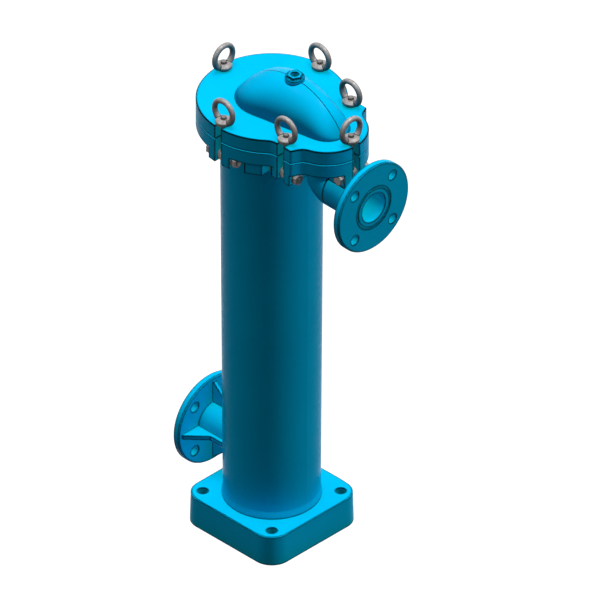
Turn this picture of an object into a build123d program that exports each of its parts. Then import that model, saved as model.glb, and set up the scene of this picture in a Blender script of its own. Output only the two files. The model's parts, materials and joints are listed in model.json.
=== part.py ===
from build123d import *
import os
from math import acos, cos, degrees, pi, radians, sin, sqrt

# Bag filter housing: liquid enters at a side flange, turns up through an elbow into a duct
# in the lid, falls into a filter bag, passes its basket and leaves at the foot of the vessel.
# Millimetres. +Z is up, +X points to the inlet. The origin is on the vessel's axis, in the
# plane that the foot stands on.

# Foot
foot_side = 213.0
foot_corner = 35.0
foot_height = 56.0
foot_draft = 1.0
foot_edge_chamfer = 1.5
foot_bolt_spacing = 162.0
foot_bolt_hole = 18.0
foot_wall = 8.0
foot_top = 10.0
foot_boss = 34.0
foot_rib = 8.0

# Vessel
vessel_top_radius = 86.5
vessel_bottom_radius = 81.5
vessel_wall = 6.0
vessel_floor_z = 14.0
vessel_floor = 8.0
vessel_floor_corner = 22.0
root_collar = 2.1
root_collar_land = 4.0
root_collar_height = 14.0

# Closure: body flange, lid and the plane between them
joint_z = 831.0
flange_thickness = 26.0
lid_thickness = 26.0
flange_radius = 126.6
port_x = 129.5
lobe_radius = 69.7
flange_edge_chamfer = 1.5
lid_edge_chamfer = 1.2

# Swing bolt stations
ring_bolt_radius = 113.0
side_bolt_x = 109.5
side_bolt_y = 76.0
end_bolt_x = 186.0
edge_distance = 13.6
slot_width = 15.0
lug_half_width = 24.0
side_lug_half_width = 21.0
lug_depth = 46.5
pivot_depth = 36.0
eye_pocket = 2.0
pad_slant = 12.0
pad_root_y = 62.7
pad_fillet = 23.0
pad_corner = 4.0

# Swing bolts, their pivots, washers and lifting eye nuts
bolt_radius = 5.0
bolt_chamfer = 0.8
eye_radius = 10.0
eye_thickness = 14.0
pivot_radius = 5.0
pivot_hex = 17.0
pivot_head = 6.4
pivot_nut = 8.4
pivot_end = 2.0
pivot_washer = 2.0
pivot_washer_radius = 10.0
nut_slack = 1.6
washer_radius = 12.0
washer_thickness = 2.5
nut_collar_radius = 14.5
nut_collar = 5.0
nut_land_radius = 9.8
nut_land = 8.4
nut_ring_radius = 20.8
nut_ring_section = 4.8
nut_ring_height = 21.0
bolt_end = 12.0

# Stiffening blocks under the rim, between the ring bolts and the side bolts
block_near_x = 50.0
block_far_x = 76.0
block_inset = 22.0

# Pipe connections, drilled to the common 2 inch pattern
bore_radius = 27.25
neck_radius = 36.0
pipe_flange_radius = 82.5
pipe_flange_thickness = 14.0
pipe_flange_chamfer = 2.0
pipe_bolt_circle = 125.0
pipe_bolt_hole = 18.0
pipe_bolt_count = 4
weld_groove = 4.0
weld_groove_depth = 3.0
inlet_z = 751.0
inlet_face_x = 239.5
elbow_bend = 25.0
outlet_z = 135.3
outlet_face_x = -150.0
gusset_thickness = 8.0
gusset_tip = 3.0
gusset_reach = 76.0
gusset_rib = 9.0
gusset_run = 37.0

# Duct in the lid
duct_big_radius = 60.6
duct_small_radius = 37.4
duct_apex = 64.7
duct_wall = 6.0
duct_crease = 0.15
duct_stations = 12
duct_tip = 0.2
mouth_relief = 0.5

# Vent bush on the duct's crown
vent_x = 54.0
vent_collar_radius = 16.85
vent_collar_chamfer = 1.2
vent_spigot_radius = 10.0
vent_spigot_end = 2.0
vent_collar_z = 69.5
vent_hex = 24.0
vent_top_z = 73.0
vent_hole_radius = 6.58

# Bag seat, basket and bag
ledge_depth = 12.0
ledge_radius = 73.5
mouth_radius = 80.5
seat_seal = 1.5
basket_rim_thickness = 3.0
basket_radius = 71.5
basket_wall_thickness = 1.5
basket_length = 540.0
basket_floor_thickness = 2.0
basket_slot_width = 14.0
basket_slot_length = 62.0
basket_slot_columns = 8
basket_slot_rows = 6
floor_hole_radius = 10.0
floor_hole_circle = 84.0
bag_gap = 0.6
bag_felt = 1.8
bag_bottom_corner = 24.0
bag_ring_radius = 62.0
bag_ring_wall = 3.0
bag_ring_bead = 5.0
tab_length = 28.0
tab_width = 16.0
tab_corner = 6.0

# Lid seal
seal_mouth_radius = 88.0
seal_port_radius = 34.0
seal_width = 5.6
seal_depth = 4.0

# Clearances
fit_clearance = 0.1
pivot_clearance = 0.1
thread_clearance = 0.15
seat_clearance = 0.3
rim_clearance = 0.9
eye_clearance = 0.8

# How far a cutter runs past what it cuts
past = 1.0

# Levels and places that follow from the sizes above
flange_z = joint_z - flange_thickness
lid_z = joint_z + lid_thickness
lug_z = joint_z - lug_depth
pivot_z = joint_z - pivot_depth
washer_z = lid_z + nut_slack
nut_z = washer_z + washer_thickness + 0.1
bolt_end_z = nut_z + bolt_end
elbow_z = inlet_z + elbow_bend
elbow_x = port_x + elbow_bend
side_pad_y = side_bolt_y + edge_distance
ledge_z = joint_z - ledge_depth
rim_z = ledge_z + seat_seal
bag_top_z = rim_z + basket_rim_thickness
basket_floor_z = rim_z - basket_length
bag_radius = basket_radius - basket_wall_thickness - bag_gap
taper = (vessel_top_radius - vessel_bottom_radius) / (flange_z - foot_height)

# One station per swing bolt: its number, its place and the way that its slot opens
STATIONS = [
    (1, -ring_bolt_radius, 0.0, 180.0),
    (2, 0.0, ring_bolt_radius, 90.0),
    (3, side_bolt_x, side_bolt_y, 90.0),
    (4, 0.0, -ring_bolt_radius, -90.0),
    (5, side_bolt_x, -side_bolt_y, -90.0),
    (6, end_bolt_x, 0.0, 0.0),
]
SIDE_STATIONS = (3, 5)
END_STATION = 6


def at(station):
    """Frame of a station: local +X points out of its slot, local Y along its pivot."""
    x, y, angle = station[1:]
    return Pos(x, y, 0) * Rot(0, 0, angle)


def half_width(station):
    """Half the width of the lug at a station."""
    return side_lug_half_width if station[0] in SIDE_STATIONS else lug_half_width


def box(x0, x1, y0, y1, z0, z1):
    return Pos((x0 + x1) / 2, (y0 + y1) / 2, (z0 + z1) / 2) * Box(x1 - x0, y1 - y0, z1 - z0)


def disc(radius, z0, z1):
    return Pos(0, 0, (z0 + z1) / 2) * Cylinder(radius, z1 - z0)


def tube(outer, inner, z0, z1):
    return disc(outer, z0, z1) - disc(inner, z0, z1)


def along_x(radius, x0, x1, y, z):
    return Pos((x0 + x1) / 2, y, z) * Rot(0, 90, 0) * Cylinder(radius, x1 - x0)


def along_y(radius, y0, y1, x, z):
    return Pos(x, (y0 + y1) / 2, z) * Rot(90, 0, 0) * Cylinder(radius, y1 - y0)


def hull_angle(big, small):
    """Angle from +X to the normal of the line that touches both circles, in radians."""
    return acos((big - small) / port_x)


def hull_face(big, small):
    """Outline stretched round a circle on the vessel's axis and one on the port's axis."""
    a = degrees(hull_angle(big, small))
    touch = radians(a)
    upper = Line((big * cos(touch), big * sin(touch)),
                 (port_x + small * cos(touch), small * sin(touch)))
    lower = Line((port_x + small * cos(touch), -small * sin(touch)),
                 (big * cos(touch), -big * sin(touch)))
    back = CenterArc((0, 0), big, a, 360 - 2 * a)
    front = CenterArc((port_x, 0), small, -a, 2 * a)
    return make_face([back, upper, front, lower])


def hull_half_width(x, big, small):
    """Half the width of that outline at x."""
    a = hull_angle(big, small)
    if x < big * cos(a):
        return sqrt(max(big * big - x * x, 0))
    if x > port_x + small * cos(a):
        return sqrt(max(small * small - (x - port_x) ** 2, 0))
    return (big - x * cos(a)) / sin(a)


def duct_section(x, width, height):
    """Arch across the duct: two elliptical arcs that meet in the slight crease of the ridge."""
    offset = duct_crease * width
    reach = width + offset
    rise = height / sqrt(1 - (offset / reach) ** 2)
    turn = degrees(acos(offset / reach))
    right = EllipticalCenterArc((-offset, 0), reach, rise, start_angle=0, arc_size=turn)
    left = EllipticalCenterArc((offset, 0), reach, rise, start_angle=180 - turn, arc_size=turn)
    sill = Line((-width, 0), (width, 0))
    plane = Plane(origin=(x, 0, lid_z), x_dir=(0, 1, 0), z_dir=(1, 0, 0))
    return plane * make_face([sill, right, left])


def duct_form(big, small, apex):
    """Dome on the lid, lofted through arches that stand under a ridge of one circular arc."""
    start = -big
    end = port_x + small
    middle = (start + end) / 2
    half = (end - start) / 2
    ridge_radius = (half * half + apex * apex) / (2 * apex)
    sections = []
    for i in range(duct_stations + 1):
        reach = (half - duct_tip) * cos(pi * i / duct_stations)
        x = middle - reach
        height = sqrt(ridge_radius ** 2 - reach ** 2) - ridge_radius + apex
        sections.append(duct_section(x, hull_half_width(x, big, small), height))
    return loft(sections)


def closure_outline():
    """Plan of the flange and the lid: a disc, a lobe round the port and a pad at each side bolt."""
    face = Circle(flange_radius) + Pos(port_x, 0) * Circle(lobe_radius)
    near = side_bolt_x - side_lug_half_width
    far = side_bolt_x + lug_half_width
    root_x = far + pad_slant
    for side in (-1, 1):
        corners = [(near, 0), (near, side * side_pad_y), (far, side * side_pad_y),
                   (root_x, side * pad_root_y), (root_x, 0)]
        if side < 0:
            corners.reverse()
        face += make_face(Polyline(*corners, close=True))
    return face


def closure_plate(z0, z1, chamfer_size):
    """Plate of that plan, its inside corners blended and the edge of its top face chamfered."""
    plate = Pos(0, 0, z0) * extrude(closure_outline(), z1 - z0)
    far = side_bolt_x + lug_half_width
    uprights = [(e, e.center().X, abs(e.center().Y)) for e in plate.edges().filter_by(Axis.Z)]
    corners = [e for e, x, y in uprights if abs(x - far) < past and abs(y - side_pad_y) < past]
    inner = [e for e, x, y in uprights if y > pad_root_y / 2 and e not in corners]
    plate = fillet(inner, pad_fillet)
    corners = [e for e in plate.edges().filter_by(Axis.Z) if abs(e.center().X - far) < past
               and abs(abs(e.center().Y) - side_pad_y) < past]
    plate = fillet(corners, pad_corner)
    rim = plate.faces().sort_by(Axis.Z)[-1].outer_wire().edges()
    return chamfer(rim, chamfer_size)


def slot(station, z0, z1):
    """Open slot that the swing bolt drops into."""
    cut = box(0, 2 * edge_distance, -slot_width / 2, slot_width / 2, z0, z1)
    return at(station) * (cut + disc(slot_width / 2, z0, z1))


def vessel_form(extra):
    """The vessel's tapered outside, offset by extra, from its floor up to the flange."""
    low = vessel_bottom_radius + extra
    high = vessel_top_radius + extra
    profile = Polyline((0, vessel_floor_z), (low, vessel_floor_z), (low, foot_height),
                       (high, flange_z), (0, flange_z), close=True)
    return revolve(Plane.XZ * make_face(profile), Axis.Z)


def inlet_form(radius, top_z, end_x):
    """Elbow and neck of one radius: down from the port, round the bend and out along +X."""
    down = Pos(port_x, 0, 0) * disc(radius, elbow_z, top_z)
    out = along_x(radius, elbow_x, end_x, 0, inlet_z)
    section = Pos(-elbow_bend, 0) * Circle(radius)
    keep = Pos(-radius - elbow_bend, 0) * Rectangle(2 * (radius + elbow_bend), 3 * radius)
    frame = Plane(origin=(elbow_x, 0, elbow_z), x_dir=(1, 0, 0), z_dir=(0, 0, 1))
    bend = revolve(frame * (section & keep), Axis((elbow_x, 0, elbow_z), (0, -1, 0)), 90)
    return down + bend + out


def pipe_flange():
    """Slip-on flange at the origin: its face at x = 0, looking along +X."""
    ring = along_x(pipe_flange_radius, -pipe_flange_thickness, 0, 0, 0)
    ring = chamfer(ring.edges().filter_by(GeomType.CIRCLE), pipe_flange_chamfer)
    ring -= along_x(neck_radius + fit_clearance, -pipe_flange_thickness, 0, 0, 0)
    ring -= along_x(neck_radius + weld_groove, -weld_groove_depth, 0, 0, 0)
    for i in range(pipe_bolt_count):
        a = 2 * pi * (i + 0.5) / pipe_bolt_count
        y = pipe_bolt_circle / 2 * cos(a)
        z = pipe_bolt_circle / 2 * sin(a)
        ring -= along_x(pipe_bolt_hole / 2, -pipe_flange_thickness, 0, y, z)
    return ring


def make_base_foot():
    """Moulded square foot, cored from below round its bolt bosses, ribs and vessel socket."""
    top = RectangleRounded(foot_side - 2 * foot_draft, foot_side - 2 * foot_draft, foot_corner)
    bottom = RectangleRounded(foot_side, foot_side, foot_corner)
    foot = loft([bottom, Pos(0, 0, foot_height) * top])
    foot = chamfer(foot.faces().sort_by(Axis.Z)[-1].outer_wire().edges(), foot_edge_chamfer)
    inner = foot_side - 2 * foot_wall
    core = extrude(RectangleRounded(inner, inner, foot_corner - foot_wall), foot_height - foot_top)
    socket = vessel_bottom_radius + foot_wall
    core -= disc(socket, 0, foot_height)
    bolt = foot_bolt_spacing / 2
    for x in (-bolt, bolt):
        for y in (-bolt, bolt):
            core -= Pos(x, y, 0) * disc(foot_boss / 2, 0, foot_height)
    rib = Box(2 * foot_side, foot_rib, foot_height, align=(Align.CENTER, Align.CENTER, Align.MIN))
    for turn in (45, 135):
        core -= Rot(0, 0, turn) * rib
    foot -= core
    bore = disc(vessel_bottom_radius + fit_clearance, 0, foot_height)
    under_floor = disc(vessel_bottom_radius + past, 0, vessel_floor_z)
    foot -= bore
    for turn in (45, 135):
        foot += Rot(0, 0, turn) * rib & under_floor
    for x in (-bolt, bolt):
        for y in (-bolt, bolt):
            foot -= Pos(x, y, 0) * disc(foot_bolt_hole / 2, 0, foot_height)
    return foot


def make_vessel_shell():
    """Tapered shell with a dished floor, bored for the outlet neck."""
    shell = vessel_form(0)
    inside = vessel_bottom_radius - past
    outside = vessel_bottom_radius + root_collar
    collar_z = foot_height + root_collar_height
    collar = Polyline((inside, foot_height), (outside, foot_height),
                      (outside, foot_height + root_collar_land),
                      (vessel_bottom_radius + root_collar_height * taper, collar_z),
                      (inside, collar_z), close=True)
    shell += revolve(Plane.XZ * make_face(collar), Axis.Z)
    low = vessel_bottom_radius - vessel_wall
    floor = vessel_floor_z + vessel_floor
    sides = Polyline((low, floor + vessel_floor_corner), (low, foot_height),
                     (vessel_top_radius - vessel_wall, flange_z), (0, flange_z), (0, floor),
                     (low - vessel_floor_corner, floor))
    corner = CenterArc((low - vessel_floor_corner, floor + vessel_floor_corner),
                       vessel_floor_corner, -90, 90)
    shell -= revolve(Plane.XZ * make_face([sides, corner]), Axis.Z)
    return shell - along_x(neck_radius, outlet_face_x, 0, 0, outlet_z)


def make_body_flange():
    """Flange with a forked lug under each slot, seated on the vessel and on the elbow."""
    plate = closure_plate(flange_z, joint_z, flange_edge_chamfer)
    outline = Pos(0, 0, inlet_z) * extrude(closure_outline(), flange_z - inlet_z)
    root = vessel_top_radius - ring_bolt_radius - vessel_wall
    for station in STATIONS:
        half = half_width(station)
        low = inlet_z + neck_radius / 2 if station[0] == END_STATION else lug_z
        lug = at(station) * box(root, 2 * edge_distance, -half, half, low, flange_z)
        plate += lug & outline
    rim = tube(flange_radius - past, flange_radius - block_inset, lug_z, flange_z)
    block_x = (block_near_x + block_far_x) / 2
    block = Pos(block_x, 0, 0) * Box(block_far_x - block_near_x, 2 * flange_radius, 2 * joint_z)
    plate += rim & block
    plate -= vessel_form(fit_clearance)
    plate -= inlet_form(neck_radius + fit_clearance, flange_z, inlet_face_x)
    for station in STATIONS:
        half = half_width(station) + past
        plate -= slot(station, flange_z - past, joint_z)
        pocket = box(-eye_radius - eye_pocket, 2 * edge_distance, -slot_width / 2,
                     slot_width / 2, inlet_z, pivot_z + eye_radius + past)
        plate -= at(station) * (pocket + along_y(pivot_radius, -half, half, 0, pivot_z))
    plate -= disc(mouth_radius, ledge_z, joint_z)
    plate -= disc(ledge_radius, flange_z, joint_z)
    plate -= Pos(port_x, 0, 0) * disc(bore_radius, flange_z, joint_z)
    return plate - make_seal_ring(seal_width / 2)


def make_seal_ring(half):
    """Ring round the mouth and the port, half its width to each side of its centre line."""
    outer = hull_face(seal_mouth_radius + half, seal_port_radius + half)
    inner = hull_face(seal_mouth_radius - half, seal_port_radius - half)
    return Pos(0, 0, joint_z - seal_depth) * extrude(outer - inner, seal_depth)


def neck_pocket():
    """Flat on top of the neck that lets the end bolt's eye turn."""
    low = pivot_z - eye_radius - eye_clearance
    return box(end_bolt_x - eye_radius - eye_pocket, end_bolt_x + edge_distance + past,
               -slot_width / 2, slot_width / 2, low, flange_z)


def make_inlet_pipe():
    """Elbow and neck in one length, cut in two where the bend ends."""
    pipe = inlet_form(neck_radius, flange_z, inlet_face_x)
    pipe -= inlet_form(bore_radius, flange_z, inlet_face_x)
    pipe -= vessel_form(0)
    pipe -= neck_pocket()
    cut = along_x(neck_radius + past, elbow_x, inlet_face_x, 0, inlet_z)
    return pipe - cut, pipe & cut


def make_outlet_neck():
    """Straight neck, coped to the inside of the vessel."""
    neck = along_x(neck_radius, outlet_face_x, -vessel_bottom_radius + vessel_wall, 0, outlet_z)
    neck -= along_x(bore_radius, outlet_face_x, 0, 0, outlet_z)
    inside = vessel_form(-vessel_wall)
    return neck - inside


def make_outlet_gussets():
    """Four plates, each from the back of the outlet flange along the neck to the vessel."""
    flange_x = outlet_face_x + pipe_flange_thickness
    rib = neck_radius + gusset_rib
    inside_x = -vessel_bottom_radius / 2
    outline = Polyline((flange_x, 0), (flange_x, gusset_reach),
                       (flange_x + gusset_tip, gusset_reach), (flange_x + gusset_run, rib),
                       (inside_x, rib), (inside_x, 0), close=True)
    plate = extrude(Plane.XZ * make_face(outline), gusset_thickness / 2, both=True)
    axis = Pos(0, 0, outlet_z)
    keep_off = along_x(neck_radius, outlet_face_x, 0, 0, outlet_z)
    keep_off += vessel_form(0)
    plates = []
    for turn in range(4):
        gusset = axis * Rot(90 * turn, 0, 0) * plate
        plates.append(gusset - keep_off)
    return Compound(plates)


def make_lid():
    """Lid plate with its duct: open below to the port and to the bag, closed above."""
    lid = closure_plate(joint_z, lid_z, lid_edge_chamfer)
    lid += duct_form(duct_big_radius, duct_small_radius, duct_apex)
    big = duct_big_radius - duct_wall
    small = duct_small_radius - duct_wall
    lid -= duct_form(big, small, duct_apex - duct_wall)
    opening = hull_face(big + mouth_relief, small + mouth_relief)
    lid -= Pos(0, 0, joint_z) * extrude(opening, lid_thickness)
    lid -= Pos(vent_x, 0, 0) * disc(vent_spigot_radius, lid_z, lid_z + vent_top_z)
    for station in STATIONS:
        lid -= slot(station, joint_z, lid_z)
    return lid


def make_vent_bush():
    """Tapped bush through the crown, with a collar that fits the duct and a hexagon above."""
    inside_z = lid_z + duct_apex - duct_wall - vent_spigot_end
    collar_z = lid_z + vent_collar_z
    collar = disc(vent_collar_radius, inside_z, collar_z)
    collar = chamfer(collar.edges().sort_by(Axis.Z)[-1], vent_collar_chamfer)
    collar -= Pos(-vent_x, 0, 0) * duct_form(duct_big_radius, duct_small_radius, duct_apex)
    top = extrude(RegularPolygon(vent_hex / 2, 6, major_radius=False), vent_top_z - vent_collar_z)
    bush = collar + Pos(0, 0, collar_z) * top
    bush += disc(vent_spigot_radius - fit_clearance, inside_z, collar_z)
    bush -= disc(vent_hole_radius, inside_z, lid_z + vent_top_z)
    return Pos(vent_x, 0, 0) * bush


def make_swing_bolt():
    """Bolt with an eye that turns on the pivot, in the frame of its station."""
    eye = along_y(eye_radius, -eye_thickness / 2, eye_thickness / 2, 0, pivot_z)
    shank = disc(bolt_radius, pivot_z, bolt_end_z)
    shank = chamfer(shank.edges().sort_by(Axis.Z)[-1], bolt_chamfer)
    hole = along_y(pivot_radius + pivot_clearance, -eye_thickness, eye_thickness, 0, pivot_z)
    return eye + shank - hole


def make_washer():
    return tube(washer_radius, bolt_radius + thread_clearance, washer_z,
                washer_z + washer_thickness)


def make_eye_nut():
    """Lifting eye nut: a collar, a tapped land and a ring whose plane faces along the slot."""
    ring = Pos(0, 0, nut_ring_height) * Rot(0, 90, 0) * Torus(nut_ring_radius, nut_ring_section)
    profile = Polyline((0, 0), (nut_collar_radius, 0), (nut_collar_radius, nut_collar),
                       (nut_land_radius, nut_land), (0, nut_land), close=True)
    nut = ring + revolve(Plane.XZ * make_face(profile), Axis.Z)
    nut -= disc(2 * nut_ring_radius, -nut_ring_height, 0)
    return Pos(0, 0, nut_z) * (nut - disc(bolt_radius + thread_clearance, 0, nut_land))


def hexagon(size, y0, y1):
    """Hexagonal prism on the pivot's axis, between two places along it."""
    prism = extrude(RegularPolygon(size / 2, 6, major_radius=False), y1 - y0)
    return Pos(0, y1, pivot_z) * Rot(90, 0, 0) * prism


def make_pivot_bolt(half):
    """Hexagon bolt through both cheeks of a lug, its head on the local -Y side."""
    head = half + pivot_washer
    end = half + pivot_washer + pivot_nut + pivot_end
    shank = along_y(pivot_radius, -head, end, 0, pivot_z)
    return hexagon(pivot_hex, -head - pivot_head, -head) + shank


def make_pivot_nut(half):
    """Nut on the local +Y side."""
    start = half + pivot_washer
    end = start + pivot_nut
    return hexagon(pivot_hex, start, end) - along_y(pivot_radius, start, end, 0, pivot_z)


def make_pivot_washers(half):
    """One washer against each cheek."""
    pair = []
    for side in (-1, 1):
        y0 = min(side * half, side * (half + pivot_washer))
        y1 = max(side * half, side * (half + pivot_washer))
        ring = along_y(pivot_washer_radius, y0, y1, 0, pivot_z)
        pair.append(ring - along_y(pivot_radius, y0, y1, 0, pivot_z))
    return pair


def make_basket_wall():
    """Rolled sheet with rows of long slots."""
    inner = basket_radius - basket_wall_thickness
    wall = tube(basket_radius, inner, basket_floor_z, rim_z)
    pitch = basket_length / basket_slot_rows
    for row in range(basket_slot_rows):
        z = basket_floor_z + pitch * (row + 0.5)
        shape = SlotOverall(basket_slot_length, basket_slot_width, rotation=90)
        cutter = extrude(Plane(origin=(0, 0, z), x_dir=(0, 1, 0), z_dir=(1, 0, 0)) * shape,
                         basket_radius + past, both=True)
        for column in range(basket_slot_columns // 2):
            wall -= Rot(0, 0, 360 / basket_slot_columns * (column + 0.5)) * cutter
    return wall


def make_basket_floor():
    """Perforated plate that closes the basket."""
    inner = basket_radius - basket_wall_thickness
    plate = disc(inner, basket_floor_z, basket_floor_z + basket_floor_thickness)
    hole = disc(floor_hole_radius, basket_floor_z, rim_z)
    plate -= hole
    for i in range(basket_slot_columns):
        plate -= Rot(0, 0, 360 / basket_slot_columns * i) * Pos(floor_hole_circle / 2, 0, 0) * hole
    return plate


def make_filter_bag():
    """Felt sleeve with a rounded closed end."""
    def cup(radius, bottom, corner):
        sides = Polyline((radius, bottom + corner), (radius, bag_top_z), (0, bag_top_z),
                         (0, bottom), (radius - corner, bottom))
        arc = CenterArc((radius - corner, bottom + corner), corner, -90, 90)
        return revolve(Plane.XZ * make_face([sides, arc]), Axis.Z)

    bottom = basket_floor_z + basket_floor_thickness + seat_clearance
    return (cup(bag_radius, bottom, bag_bottom_corner)
            - cup(bag_radius - bag_felt, bottom + bag_felt, bag_bottom_corner - bag_felt))


def make_bag_ring():
    """Moulded ring that the bag hangs from, with two finger tabs inside it."""
    outer = mouth_radius - rim_clearance
    web_z = bag_top_z + bag_ring_wall
    ring = tube(outer, bag_ring_radius, bag_top_z, joint_z)
    ring -= tube(outer - bag_ring_wall, bag_ring_radius + bag_ring_bead, web_z, joint_z)
    tab = extrude(RectangleRounded(tab_length, tab_width, tab_corner), bag_ring_wall)
    for side in (-1, 1):
        ring += Pos(0, side * (bag_ring_radius - tab_corner), bag_top_z) * tab
    return ring


def build_parts():
    elbow, neck = make_inlet_pipe()
    parts = {
        "base_foot": make_base_foot(),
        "vessel_shell": make_vessel_shell(),
        "body_flange": make_body_flange(),
        "inlet_elbow": elbow,
        "inlet_neck": neck,
        "inlet_flange": Pos(inlet_face_x, 0, inlet_z) * pipe_flange(),
        "outlet_neck": make_outlet_neck(),
        "outlet_flange": Pos(outlet_face_x, 0, outlet_z) * Rot(0, 0, 180) * pipe_flange(),
        "outlet_gussets": make_outlet_gussets(),
        "lid": make_lid(),
        "vent_bush": make_vent_bush(),
        "lid_seal": make_seal_ring(seal_width / 2),
        "basket_seal": tube(mouth_radius - rim_clearance, ledge_radius, ledge_z, rim_z),
        "basket_rim": tube(mouth_radius - rim_clearance, basket_radius - basket_wall_thickness,
                           rim_z, bag_top_z),
        "basket_wall": make_basket_wall(),
        "basket_floor": make_basket_floor(),
        "filter_bag": make_filter_bag(),
        "bag_ring": make_bag_ring(),
    }
    for station in STATIONS:
        place = at(station)
        parts[f"swing_bolt_{station[0]}"] = place * make_swing_bolt()
        parts[f"washer_{station[0]}"] = place * make_washer()
        parts[f"eye_nut_{station[0]}"] = place * make_eye_nut()
    parts["pivot_bolts"] = Compound([at(s) * make_pivot_bolt(half_width(s)) for s in STATIONS])
    parts["pivot_nuts"] = Compound([at(s) * make_pivot_nut(half_width(s)) for s in STATIONS])
    parts["pivot_washers"] = Compound([at(s) * ring for s in STATIONS
                                       for ring in make_pivot_washers(half_width(s))])
    return parts


os.makedirs("parts", exist_ok=True)
for name, shape in build_parts().items():
    export_step(shape, f"parts/{name}.step")
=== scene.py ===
import json
from math import cos, pi, radians, sin, tan

import bpy
import numpy as np
from bpy.props import FloatProperty, FloatVectorProperty, IntProperty, PointerProperty
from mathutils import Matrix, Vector


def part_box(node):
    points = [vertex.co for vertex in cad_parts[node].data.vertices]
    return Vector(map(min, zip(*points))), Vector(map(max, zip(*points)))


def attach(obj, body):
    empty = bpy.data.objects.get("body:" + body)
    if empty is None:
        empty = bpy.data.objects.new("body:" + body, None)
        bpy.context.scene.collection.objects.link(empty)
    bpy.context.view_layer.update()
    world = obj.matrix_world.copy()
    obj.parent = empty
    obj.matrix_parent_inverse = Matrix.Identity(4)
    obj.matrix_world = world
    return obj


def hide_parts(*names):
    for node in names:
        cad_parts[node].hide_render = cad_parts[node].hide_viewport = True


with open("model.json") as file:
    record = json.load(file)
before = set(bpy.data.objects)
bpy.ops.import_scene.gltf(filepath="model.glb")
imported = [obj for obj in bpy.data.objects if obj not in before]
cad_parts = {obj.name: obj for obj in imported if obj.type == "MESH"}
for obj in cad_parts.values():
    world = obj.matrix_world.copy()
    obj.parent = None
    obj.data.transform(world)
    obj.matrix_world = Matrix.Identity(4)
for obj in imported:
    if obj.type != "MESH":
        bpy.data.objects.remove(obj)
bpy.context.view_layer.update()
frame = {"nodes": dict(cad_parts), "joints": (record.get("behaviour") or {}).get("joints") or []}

bl_info = {
    "name": "Bag Filter Housing",
    "version": (1, 0, 0),
    "blender": (4, 5, 0),
    "location": "3D View > Sidebar > Filter",
    "description": "Finishes, threads, swing bolts, lifting eyes, welds, bag and stage of a bag filter",
    "category": "Object",
}

MM = 0.001
HOUSING = "housing"
STATIONS = range(1, 7)
MOULDED = ("base_foot", "vessel_shell", "body_flange", "inlet_elbow", "inlet_neck",
           "inlet_flange", "outlet_neck", "outlet_flange", "outlet_gussets", "lid", "vent_bush")

# Height of the lid's flat top, and radius of the tapered vessel where it stands on its foot
LID_TOP = 857 * MM
VESSEL_FOOT_RADIUS = 81.5 * MM

# The lid's rim, painted dark as shade, starts this far below its top and ends this far above it
RIM_BELOW = 2 * MM
RIM_ABOVE = 0.3 * MM

# Gap between a bolt's outside and what turns or slides on it
BOLT_CLEARANCE = 0.15 * MM

# The pivots: the stations with narrow lugs, half the width of a narrow and of a wide lug, and the
# thickness of washer, head, nut and bolt end along a pivot
NARROW_STATIONS = (3, 5)
NARROW_LUG = 21 * MM
WIDE_LUG = 24 * MM
PIVOT_STACK = (2 * MM, 6.4 * MM, 8.4 * MM, 2 * MM)

# Chamfers at the ends of the swing bolts and of the pivots, the rounding of the pivots' washers,
# and how far a pivot's shank lies inside its nut's bore, so that the two don't coincide
SWING_TIP = 0.8 * MM
PIVOT_TIP = 0.7 * MM
PIVOT_WASHER_EDGE = 0.4 * MM
PIVOT_PLAY = 0.02 * MM

# A swing bolt's shank starts at this share of its eye's radius
EYE_NECK = 0.8

# A lifting eye's ring stays this far above its seat, and runs this many degrees down each side
RING_FLOOR = 0.25 * MM
RING_REACH = 150

# A lifting eye's collar: the heights of its edge and its top and the reach of its top, as shares
# of the collar's radius
COLLAR_EDGE = 0.34
COLLAR_TOP = 0.58
COLLAR_LAND = 0.68

# The bag's seam: how far inside the felt it lies, its distances from the bag's bottom and top,
# the angles of its two rows, half a stitch's depth, and half its length as a share of the spacing
SEAM_INSET = 0.6 * MM
SEAM_ENDS = (40 * MM, 12 * MM)
SEAM_ROWS = (-0.04, 0.04)
STITCH_DEPTH = 0.35 * MM
STITCH_SHARE = 0.36

# Steps round a weld's path, puddles along it, how far the front bead lies behind its face, how far
# out it lies as a share of the bead's radius, and the back bead's size as a share of the front's
WELD_STEPS = 240
WELD_PUDDLES = 60
WELD_SETBACK = 3 * MM
WELD_OUT = 0.9
WELD_BACK = 0.8

# Lamps: azimuth from +X towards +Y, elevation, strength over pi, softness, casts a shadow. Angles
# are in degrees
LAMPS = {"key": (43, 66.5, 0.615, 8, False),
         "fill": (-146, 67, 0.23, 16, False),
         "top": (0, 90, 0.27, 30, True)}

# Share of white that gloss sees, the camera's distance and reach, and half the floor's width
GLOSS_LIGHT = 0.75
CAMERA_DISTANCE = 3.0
CAMERA_REACH = 20.0
FLOOR_REACH = 6.0


# Places and sizes read from the frame

def joint(name):
    return next(j for j in frame["joints"] if j["name"] == name)


def size(node):
    """Lowest corner and highest corner of a node, as arrays."""
    low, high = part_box(node)
    return np.array(low), np.array(high)


def station_frame(number):
    """Pivot of a swing bolt, the way out of its slot and the way along its pivot."""
    swing = joint(f"swing_{number}")
    along = np.array(swing["axis"], float)
    out = np.array((along[1], -along[0], 0.0))
    return np.array(swing["pos_m"], float), out, along


def placed(points, number):
    """Points given from a pivot as (out of its slot, along it, up), moved to where they lie."""
    pivot, out, along = station_frame(number)
    points = np.asarray(points)
    up = np.array((0.0, 0.0, 1.0))
    return pivot + points[:, :1] * out + points[:, 1:2] * along + points[:, 2:] * up


# Surfaces on grids

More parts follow.
